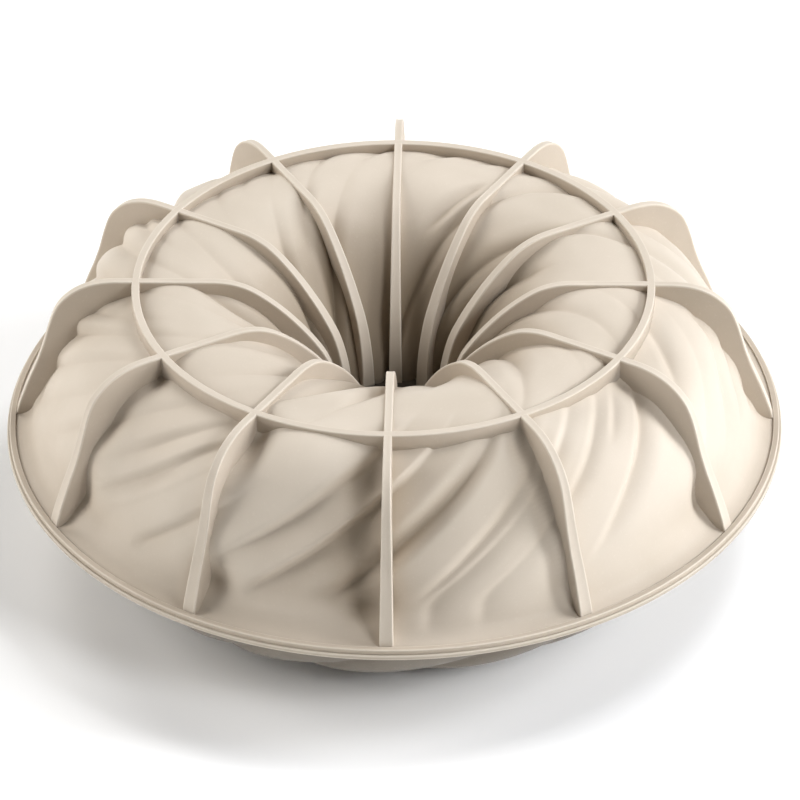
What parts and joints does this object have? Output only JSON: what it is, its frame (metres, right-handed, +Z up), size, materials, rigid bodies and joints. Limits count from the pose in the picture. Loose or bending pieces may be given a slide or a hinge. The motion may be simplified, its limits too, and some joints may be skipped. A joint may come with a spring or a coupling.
{
  "type": "bundt pan",
  "caption": "Two-part silicone ring mould: a ribbed swirl-fluted half with a crown hoop and a shallower closing half that meet at flat rims.",
  "frame": {"origin": "centre of the flat base of the closing half, on the surface the mould stands on", "axes": "+Z up along the ring's axis, from the closing half to the ribs; +X and +Y each lie in the plane of a rib"},
  "size_m": [0.2404, 0.2404, 0.0845],
  "materials": {
    "closing_silicone": "matt moulded silicone rubber, warm beige",
    "ribbed_silicone": "matt moulded silicone rubber, warm beige",
    "rib_silicone": "matt moulded silicone rubber, warm beige, crisp edges"
  },
  "bodies": {
    "closing_half": {"closing_shell": "closing_silicone", "closing_rim": "closing_silicone"},
    "ribbed_half": {"ribbed_shell": "ribbed_silicone", "ribbed_rim": "ribbed_silicone", "outer_ribs": "rib_silicone", "inner_ribs": "rib_silicone", "crown_ring": "rib_silicone"}
  },
  "joints": [
    {"name": "ribbed_half_lift", "type": "slide", "parent": "closing_half", "child": "ribbed_half", "axis": [0, 0, 1], "range_m": [0, 0.06]}
  ]
}
